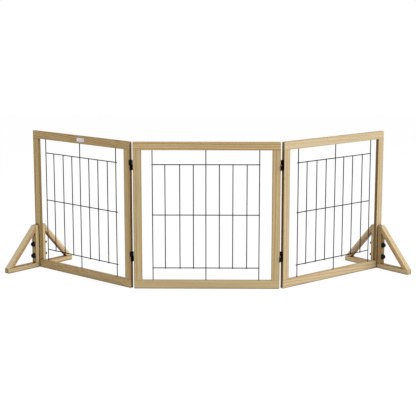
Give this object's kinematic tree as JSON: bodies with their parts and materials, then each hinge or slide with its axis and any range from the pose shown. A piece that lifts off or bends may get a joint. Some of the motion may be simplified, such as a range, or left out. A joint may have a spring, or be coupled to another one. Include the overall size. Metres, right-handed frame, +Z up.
{
  "type": "pet gate",
  "caption": "Free-standing folding wood gate for a room opening: wire-filled panels on two-way hinges, with bolted triangular feet at the outer ends.",
  "frame": {"origin": "middle of the centre panel's underside, at half its thickness, on the floor", "axes": "+X along the centre panel to the right seen from the front, +Y to the back, towards which both side panels are folded, +Z up"},
  "size_m": [1.7679, 0.5465, 0.61],
  "materials": {
    "pine": "satin",
    "dowel_wood": "matt",
    "wire_black": "satin",
    "hinge_black": "satin",
    "pin_black": "satin",
    "screw_black": "satin",
    "knob_black": "gloss",
    "bolt_steel": "satin",
    "nut_black": "gloss",
    "plate_silver": "satin"
  },
  "bodies": {
    "centre_panel": {"centre_panel_bottom_rail": "pine", "centre_panel_dowels": "dowel_wood", "centre_panel_left_stile": "pine", "centre_panel_right_stile": "pine", "centre_panel_top_rail": "pine", "centre_panel_wire_grid": "wire_black", "left_centre_leaf_screws": "screw_black", "left_lower_centre_leaf": "hinge_black", "left_upper_centre_leaf": "hinge_black", "right_centre_leaf_screws": "screw_black", "right_lower_centre_leaf": "hinge_black", "right_upper_centre_leaf": "hinge_black"},
    "left_link": {"left_hinge_pins": "pin_black", "left_lower_link": "hinge_black", "left_upper_link": "hinge_black"},
    "left_panel": {"left_back_foot_base": "pine", "left_back_foot_brace": "pine", "left_back_foot_upright": "pine", "left_cap_nuts": "nut_black", "left_front_foot_base": "pine", "left_front_foot_brace": "pine", "left_front_foot_upright": "pine", "left_lower_outer_leaf": "hinge_black", "left_outer_leaf_screws": "screw_black", "left_panel_bottom_rail": "pine", "left_panel_dowels": "dowel_wood", "left_panel_hinge_stile": "pine", "left_panel_outer_stile": "pine", "left_panel_top_rail": "pine", "left_panel_wire_grid": "wire_black", "left_upper_outer_leaf": "hinge_black", "name_plate": "plate_silver"},
    "right_link": {"right_hinge_pins": "pin_black", "right_lower_link": "hinge_black", "right_upper_link": "hinge_black"},
    "right_panel": {"right_back_foot_base": "pine", "right_back_foot_brace": "pine", "right_back_foot_upright": "pine", "right_cap_nuts": "nut_black", "right_front_foot_base": "pine", "right_front_foot_brace": "pine", "right_front_foot_upright": "pine", "right_lower_outer_leaf": "hinge_black", "right_outer_leaf_screws": "screw_black", "right_panel_bottom_rail": "pine", "right_panel_dowels": "dowel_wood", "right_panel_hinge_stile": "pine", "right_panel_outer_stile": "pine", "right_panel_top_rail": "pine", "right_panel_wire_grid": "wire_black", "right_upper_outer_leaf": "hinge_black"},
    "left_lower_knob": {"left_lower_knob": "knob_black", "left_lower_bolt": "bolt_steel"},
    "left_upper_knob": {"left_upper_knob": "knob_black", "left_upper_bolt": "bolt_steel"},
    "right_lower_knob": {"right_lower_knob": "knob_black", "right_lower_bolt": "bolt_steel"},
    "right_upper_knob": {"right_upper_knob": "knob_black", "right_upper_bolt": "bolt_steel"}
  },
  "joints": [
    {"name": "left_back_fold", "type": "hinge", "parent": "centre_panel", "child": "left_link", "pos_m": [-0.3011, 0.00916, 0], "axis": [0, 0, -1], "range_deg": [-40.7, 49.3]},
    {"name": "left_front_fold", "type": "hinge", "parent": "left_link", "child": "left_panel", "pos_m": [-0.31396, -0.00395, 0], "axis": [0, 0, 1], "range_deg": [0, 90]},
    {"name": "right_front_fold", "type": "hinge", "parent": "centre_panel", "child": "right_link", "pos_m": [0.3011, -0.00916, 0], "axis": [0, 0, -1], "range_deg": [0, 90]},
    {"name": "right_back_fold", "type": "hinge", "parent": "right_link", "child": "right_panel", "pos_m": [0.3023, 0.00916, 0], "axis": [0, 0, 1], "range_deg": [-40.7, 49.3]},
    {"name": "left_lower_knob_turn", "type": "hinge", "parent": "left_panel", "child": "left_lower_knob", "pos_m": [-0.77346, 0.36446, 0.053], "axis": [-0.6521, -0.7581, 0], "continuous": true},
    {"name": "left_upper_knob_turn", "type": "hinge", "parent": "left_panel", "child": "left_upper_knob", "pos_m": [-0.77346, 0.36446, 0.105], "axis": [-0.6521, -0.7581, 0], "continuous": true},
    {"name": "right_lower_knob_turn", "type": "hinge", "parent": "right_panel", "child": "right_lower_knob", "pos_m": [0.77375, 0.36368, 0.053], "axis": [0.6521, -0.7581, 0], "continuous": true},
    {"name": "right_upper_knob_turn", "type": "hinge", "parent": "right_panel", "child": "right_upper_knob", "pos_m": [0.77375, 0.36368, 0.105], "axis": [0.6521, -0.7581, 0], "continuous": true}
  ]
}
